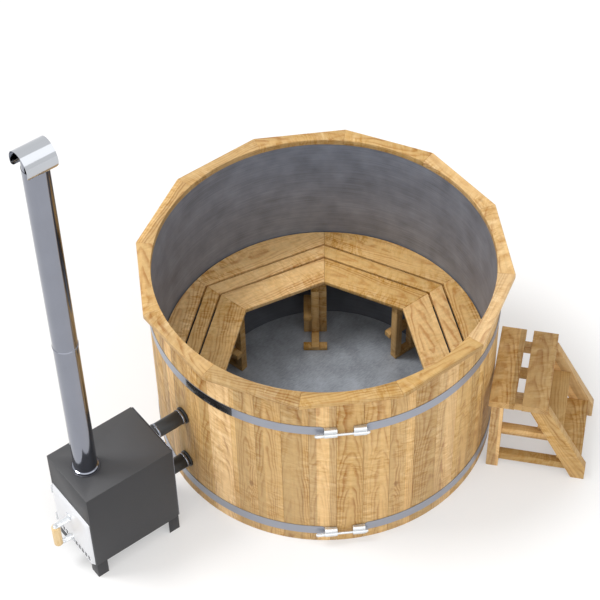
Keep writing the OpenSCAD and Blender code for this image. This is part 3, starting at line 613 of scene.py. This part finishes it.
def islands(bm):
    """The separate solids of a mesh, as lists of vertices."""
    left = set(bm.verts)
    found = []
    for start in bm.verts:
        if start not in left:
            continue
        group, todo = [], [start]
        left.discard(start)
        while todo:
            vert = todo.pop()
            group.append(vert)
            for edge in vert.link_edges:
                other = edge.other_vert(vert)
                if other in left:
                    left.discard(other)
                    todo.append(other)
        found.append(group)
    return found


def board_frame(verts):
    """Axes and middle of a board: along its longest edge, across, and through its widest face."""
    # A dictionary keeps its order, so that equal edges give the same board frame each run
    edges = dict.fromkeys(edge for vert in verts for edge in vert.link_edges)
    long_edge = max(edges, key=lambda e: round(e.calc_length(), 5))
    along = (long_edge.verts[1].co - long_edge.verts[0].co).normalized()
    if (along.x, along.y, along.z) < (0, 0, 0):
        along = -along
    faces = dict.fromkeys(face for vert in verts for face in vert.link_faces)
    sums = Matrix(((0, 0, 0), (0, 0, 0), (0, 0, 0)))
    for face in faces:
        flat = face.normal - along * face.normal.dot(along)
        area = face.calc_area()
        for i in range(3):
            for j in range(3):
                sums[i][j] += area * flat[i] * flat[j]
    through = Vector(ODD_WAY)
    through -= along * through.dot(along)
    for _ in range(TURNS):
        through = (sums @ through).normalized()
    across = through.cross(along)
    low = [min(v.co.dot(axis) for v in verts) for axis in (along, across, through)]
    high = [max(v.co.dot(axis) for v in verts) for axis in (along, across, through)]
    middle = [(a + b) / 2 for a, b in zip(low, high)]
    return along, across, through, middle


def mark_boards(bm, seed):
    """Writes each board's own frame and tone to the vertices, for the wood to follow."""
    draw = random.Random(seed)
    grain = bm.verts.layers.float_vector.new("grain")
    tone = bm.verts.layers.float.new("tone")
    for verts in islands(bm):
        along, across, through, middle = board_frame(verts)
        # One number is drawn and left, which keeps the ones after it as they were tuned
        draw.random()
        cut_across = draw.gauss(0, CUT_ACROSS)
        cut_through = draw.uniform(0.0, CUT_THROUGH)
        cut_along = draw.choice(CUT_ALONG)
        shade = min(max(draw.gauss(TONE_MIDDLE, TONE_SPREAD), 0.0), 1.0)
        for vert in verts:
            x = vert.co.dot(along) - middle[0]
            y = vert.co.dot(across) - middle[1]
            z = vert.co.dot(through) - middle[2]
            vert[grain] = (x + cut_along, y + cut_across, z + cut_through)
            vert[tone] = shade


def cad_mesh(node, bevel, segments, seed):
    """Copies a CAD node to a mesh with clean faces and rounded edges."""
    bm = bmesh.new()
    bm.from_mesh(frame["nodes"][node].data)
    bmesh.ops.remove_doubles(bm, verts=bm.verts, dist=WELD)
    bmesh.ops.dissolve_limit(
        bm, angle_limit=math.radians(FLAT), verts=bm.verts, edges=bm.edges
    )
    bm.normal_update()
    if bevel:
        sharp = [
            e
            for e in bm.edges
            if len(e.link_faces) == 2 and e.calc_face_angle(0.0) > math.radians(ROUNDED_OVER)
        ]
        bmesh.ops.bevel(
            bm,
            geom=sharp,
            offset=bevel,
            offset_type="OFFSET",
            segments=segments,
            profile=0.5,
            affect="EDGES",
            clamp_overlap=True,
        )
    bm.normal_update()
    if seed is not None:
        mark_boards(bm, seed)
    mesh = bpy.data.meshes.new(node)
    bm.to_mesh(mesh)
    bm.free()
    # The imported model's stored normals don't fit the rounded edges
    stored = mesh.attributes.get("custom_normal")
    if stored:
        mesh.attributes.remove(stored)
    return mesh


def dress(node, name, material, bevel=0.0, seed=None, angle=SMOOTH_UNDER, segments=2):
    """Stands a finished copy in for one CAD node.

    bevel is the radius of its rounded edges in metres, and a wooden piece needs a seed.
    """
    mesh = cad_mesh(node, bevel, segments, seed)
    return place(name, mesh, BODY_OF[node], material, [node], angle)


def paint_slot_shade(door):
    """Paints the walls of the air slots near the door's lower edge black, as painted shade in the
    slots.
    """
    low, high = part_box("stove_door")
    middle = (low[1] + high[1]) / 2
    door.data.materials.append(finish("Heat resistant paint, black"))
    for face in door.data.polygons:
        up = face.center.z - low[2]
        side = abs(face.center.y - middle)
        in_rows = SLOTS_LOW < up < SLOTS_HIGH and side < SLOTS_REACH
        # Painted shade: the walls of the slots take the black paint
        if in_rows and abs(face.normal.x) < SLOT_WALL:
            face.material_index = 1


def wooden(rows, material):
    """Dresses a list of board nodes, each with its own seed."""
    edge = bpy.context.scene.hot_tub.edge_round
    for seed, (node, name) in enumerate(rows):
        dress(node, name, material, edge, seed=sum(map(ord, node)) + seed)


class HOTTUB_OT_wall(bpy.types.Operator):
    """Staves, floor boards and rim boards"""

    bl_idname = "hot_tub.wall"
    bl_label = "Wooden wall"

    def execute(self, context):
        wooden(
            [
                ("staves", "stave_wall"),
                ("port_stave", "stave_with_ports"),
                ("rim_boards", "rim_ring"),
            ],
            "Spruce, planed and oiled",
        )
        wooden([("floor_boards", "floor_planks")], "Spruce, sawn")
        return {"FINISHED"}


class HOTTUB_OT_liner(bpy.types.Operator):
    """Steel liner of wall, foot ring and floor"""

    bl_idname = "hot_tub.liner"
    bl_label = "Steel liner"

    def execute(self, context):
        for node, name, material in (
            ("liner_wall", "liner_wall_sheet", "Stainless sheet, dull"),
            # Painted shade: the slope under the bench gets a darker copy of the liner sheet
            ("liner_foot_ring", "liner_slope_sheet", "Stainless slope, painted shade"),
            ("liner_floor", "liner_floor_sheet", "Stainless floor, dull"),
        ):
            dress(node, name, material)
        return {"FINISHED"}


class HOTTUB_OT_hoops(bpy.types.Operator):
    """Hoops with their lugs, rods, nuts and bare name plate"""

    bl_idname = "hot_tub.hoops"
    bl_label = "Hoops"

    def execute(self, context):
        for node in ("upper_hoop", "lower_hoop"):
            dress(node, node + "_band", "Stainless band, rolled")
        dress("hoop_lugs", "lugs", "Steel, zinc plated", 0.0008)
        dress("tension_rods", "rods", "Steel, zinc plated", 0.001)
        dress("rod_nuts", "nuts", "Steel, zinc plated", 0.0008)
        dress("name_plate", "bare_plate", "Enamel, black", 0.0003)
        return {"FINISHED"}


class HOTTUB_OT_bench(bpy.types.Operator):
    """Seat boards and the frames under them"""

    bl_idname = "hot_tub.bench"
    bl_label = "Bench"

    def execute(self, context):
        wooden(
            [
                ("bench_inner_boards", "seat_inner"),
                ("bench_middle_slats", "seat_middle"),
                ("bench_outer_boards", "seat_outer"),
            ],
            "Spruce, planed",
        )
        wooden(
            [
                ("bench_battens", "seat_battens"),
                ("bench_bearers", "seat_bearers"),
                ("bench_inner_posts", "posts_inner"),
                ("bench_outer_posts", "posts_outer"),
                ("bench_cross_rails", "post_rails"),
                ("bench_runners", "floor_runners"),
                ("bench_foot_blocks", "runner_blocks"),
                ("bench_side_posts", "posts_side"),
            ],
            "Spruce, sawn",
        )
        return {"FINISHED"}


class HOTTUB_OT_water(bpy.types.Operator):
    """Ports, hoses and clamps between the tub and the stove"""

    bl_idname = "hot_tub.water"
    bl_label = "Water pipes"

    def execute(self, context):
        for node, name, material, bevel in (
            ("tub_port_pipes", "port_tubes", "Stainless tube, bright", 0.0005),
            ("tub_port_rings", "port_rings", "Rubber, black", 0.002),
            ("tub_port_flanges", "port_flanges", "Stainless tube, bright", 0.0005),
            ("water_hoses", "hoses", "Rubber, black", 0.001),
            ("hose_clamps", "clamps", "Stainless tube, bright", 0.0003),
            ("stove_stubs", "stove_tubes", "Stainless tube, bright", 0.0005),
        ):
            dress(node, name, material, bevel)
        return {"FINISHED"}


class HOTTUB_OT_stove(bpy.types.Operator):
    """Stove casing, feet, tank, firebox and door"""

    bl_idname = "hot_tub.stove"
    bl_label = "Stove"

    def execute(self, context):
        for node, name, material, bevel in (
            ("stove_casing", "casing", "Heat resistant paint, black", 0.001),
            ("stove_top_plate", "top_plate", "Heat resistant paint, grey", 0.001),
            ("stove_feet", "feet", "Heat resistant paint, black", 0.0008),
            ("water_tank", "tank", "Stainless sheet, heat darkened", 0.0006),
            ("tank_back_plate", "tank_back", "Stainless tube, bright", 0.0003),
            ("tank_front_frame", "tank_frame", "Fire worn plate", 0.0003),
            ("firebox", "fire_box", "Fire worn plate", 0.0008),
            ("firebox_grate", "grate", "Fire worn plate", 0.001),
            ("flue_spigot", "spigot", "Fire worn plate", 0.0003),
            ("flue_collar", "collar", "Stainless sheet, heat darkened", 0.0008),
            ("casing_knuckles", "casing_hinge_parts", "Steel, zinc plated", 0.0004),
            ("hinge_pins", "pins", "Steel, zinc plated", 0.0005),
            ("stove_door", "door_pan", "Stainless plate, matt", 0.0008),
            ("door_knuckles", "door_hinge_parts", "Steel, zinc plated", 0.0004),
            ("handle_arms", "grip_arms", "Steel, zinc plated", 0.0006),
            ("handle_spindle", "grip_spindle", "Steel, zinc plated", 0.001),
        ):
            made = dress(node, name, material, bevel)
            if node == "stove_door":
                paint_slot_shade(made)
        dress("handle_grip", "grip", "Birch, turned", 0.004, seed=5, segments=4)
        return {"FINISHED"}


class HOTTUB_OT_chimney(bpy.types.Operator):
    """Chimney pipes, straps and rain cap"""

    bl_idname = "hot_tub.chimney"
    bl_label = "Chimney"

    def execute(self, context):
        for node, name, material in (
            ("lower_pipe", "pipe_low", "Stainless tube, bright"),
            ("upper_pipe", "pipe_high", "Stainless tube, bright"),
            ("cap_straps", "straps", "Stainless tube, bright"),
            ("rain_cap", "cap", "Stainless cap, polished"),
        ):
            dress(node, name, material, angle=SMOOTH_UNDER_CHIMNEY)
        return {"FINISHED"}


class HOTTUB_OT_steps(bpy.types.Operator):
    """Free-standing steps"""

    bl_idname = "hot_tub.steps"
    bl_label = "Steps"

    def execute(self, context):
        wooden(
            [
                ("step_legs", "steps_legs"),
                ("step_strings", "steps_strings"),
                ("step_rails", "steps_rails"),
                ("step_platform", "steps_platform"),
                ("step_treads", "steps_treads"),
            ],
            "Spruce, planed and oiled",
        )
        return {"FINISHED"}


class HOTTUB_OT_stage(bpy.types.Operator):
    """Floor, lamps, world and camera"""

    bl_idname = "hot_tub.stage"
    bl_label = "Stage"

    def execute(self, context):
        scene = context.scene
        mesh = bpy.data.meshes.new("studio_floor")
        bm = bmesh.new()
        bmesh.ops.create_grid(bm, x_segments=2, y_segments=2, size=FLOOR_HALF)
        bm.to_mesh(mesh)
        bm.free()
        floor = bpy.data.objects.new("studio_floor", mesh)
        scene.collection.objects.link(floor)
        # Matt painted floor: it keeps the shadow, and its own glow lifts the rest to white
        made, tree, shader, out = new_material("Studio floor, pale")
        shader.inputs["Base Color"].default_value = linear("F4F4F4")
        shader.inputs["Roughness"].default_value = 0.9
        shader.inputs["Specular IOR Level"].default_value = 0.0
        glow = add(tree, "ShaderNodeEmission", {"Color": WHITE, "Strength": FLOOR_GLOW})
        share = add(
            tree, MATH, {0: background_rays(tree), 1: FLOOR_SHARE}, operation="MULTIPLY"
        )
        both = add(tree, "ShaderNodeMixShader", {0: share, 1: shader, 2: glow})
        tree.links.new(both.outputs[0], out.inputs["Surface"])
        mesh.materials.append(made)

        # The camera and bright metal see a white world, which lights the object by less
        world = bpy.data.worlds.new("Studio world")
        world.use_nodes = True
        scene.world = world
        tree = world.node_tree
        tree.nodes.clear()
        seen, lit = (
            add(tree, "ShaderNodeBackground", {"Color": WHITE, "Strength": strength})
            for strength in (WORLD_SEEN, WORLD_LIGHT)
        )
        mixed = add(tree, "ShaderNodeMixShader", {0: background_rays(tree), 1: lit, 2: seen})
        add(tree, "ShaderNodeOutputWorld", {"Surface": mixed})

        for name, spot, spread, strength in LAMPS:
            lamp = bpy.data.lights.new(name, "SUN")
            lamp.angle = math.radians(spread)
            lamp.energy = strength
            holder = bpy.data.objects.new(name, lamp)
            holder.location = spot
            aim = -Vector(spot)
            holder.rotation_euler = aim.to_track_quat("-Z", "Y").to_euler()
            scene.collection.objects.link(holder)

        scene.view_settings.view_transform = "Standard"
        camera = bpy.data.cameras.new("Camera")
        camera.sensor_width = SENSOR
        camera.lens = LENS
        camera.clip_end = CAMERA_REACH
        eye = bpy.data.objects.new("Camera", camera)
        scene.collection.objects.link(eye)
        spot = Vector(CAMERA_SPOT)
        aim = Vector(CAMERA_AIM) - spot
        turn = aim.to_track_quat("-Z", "Y").to_matrix().to_4x4()
        eye.matrix_world = (
            Matrix.Translation(spot) @ turn @ Matrix.Rotation(CAMERA_ROLL, 4, "Z")
        )
        scene.camera = eye
        return {"FINISHED"}


class HOTTUB_PT_panel(bpy.types.Panel):
    """Lists the steps that dress the hot tub"""

    bl_idname = "HOTTUB_PT_panel"
    bl_label = "Hot tub"
    bl_space_type = "VIEW_3D"
    bl_region_type = "UI"
    bl_category = "Hot tub"

    def draw(self, context):
        for kind in OPERATORS:
            self.layout.operator(kind.bl_idname)
        for name in HotTubFinish.__annotations__:
            self.layout.prop(context.scene.hot_tub, name)


OPERATORS = (
    HOTTUB_OT_wall,
    HOTTUB_OT_liner,
    HOTTUB_OT_hoops,
    HOTTUB_OT_bench,
    HOTTUB_OT_water,
    HOTTUB_OT_stove,
    HOTTUB_OT_chimney,
    HOTTUB_OT_steps,
    HOTTUB_OT_stage,
)


def register():
    for kind in (HotTubFinish, *OPERATORS, HOTTUB_PT_panel):
        bpy.utils.register_class(kind)
    bpy.types.Scene.hot_tub = PointerProperty(type=HotTubFinish)


def unregister():
    del bpy.types.Scene.hot_tub
    for kind in reversed((HotTubFinish, *OPERATORS, HOTTUB_PT_panel)):
        bpy.utils.unregister_class(kind)


def main():
    register()
    for kind in OPERATORS:
        group, call = kind.bl_idname.split(".")
        getattr(getattr(bpy.ops, group), call)()


if __name__ == "__main__":
    main()
